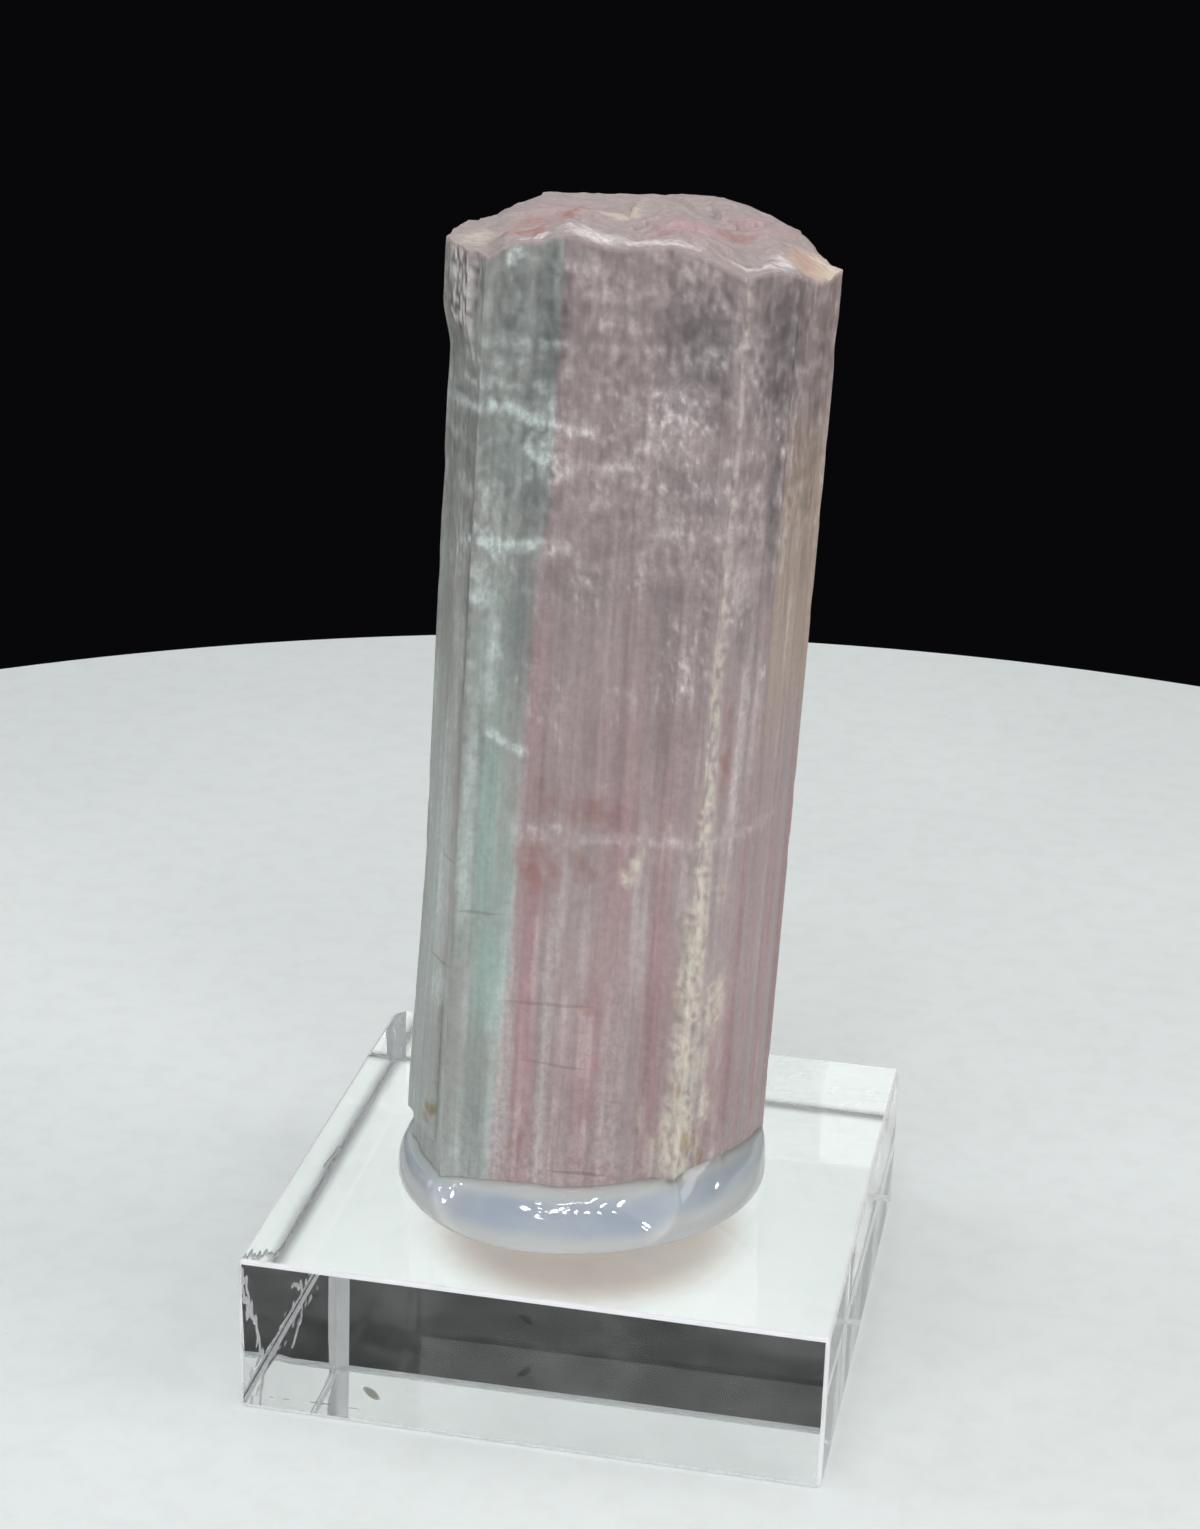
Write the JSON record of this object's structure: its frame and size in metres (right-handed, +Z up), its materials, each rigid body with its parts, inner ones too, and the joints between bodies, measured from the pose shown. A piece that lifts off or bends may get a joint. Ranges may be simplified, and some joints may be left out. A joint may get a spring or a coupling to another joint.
{
  "type": "watermelon tourmaline crystal",
  "caption": "Bicoloured green and pink tourmaline prism with a broken upper end, stuck upright with mineral tack on a clear square acrylic display block.",
  "frame": {"origin": "centre of the acrylic block's underside, which is the middle of the object's own footprint", "axes": "+Z up along the standing crystal; +X to the right and +Y to the back as seen from the crystal's broad front face"},
  "size_m": [0.035, 0.035, 0.0696],
  "materials": {
    "tourmaline": "hazy translucent tourmaline, mint green on the left and dusty pink on the right, striated",
    "tack": "glossy milky periwinkle-white putty",
    "acrylic": "clear polished cast acrylic"
  },
  "bodies": {
    "root": {"tourmaline_crystal": "tourmaline", "mineral_tack": "tack", "acrylic_block": "acrylic"}
  },
  "joints": []
}
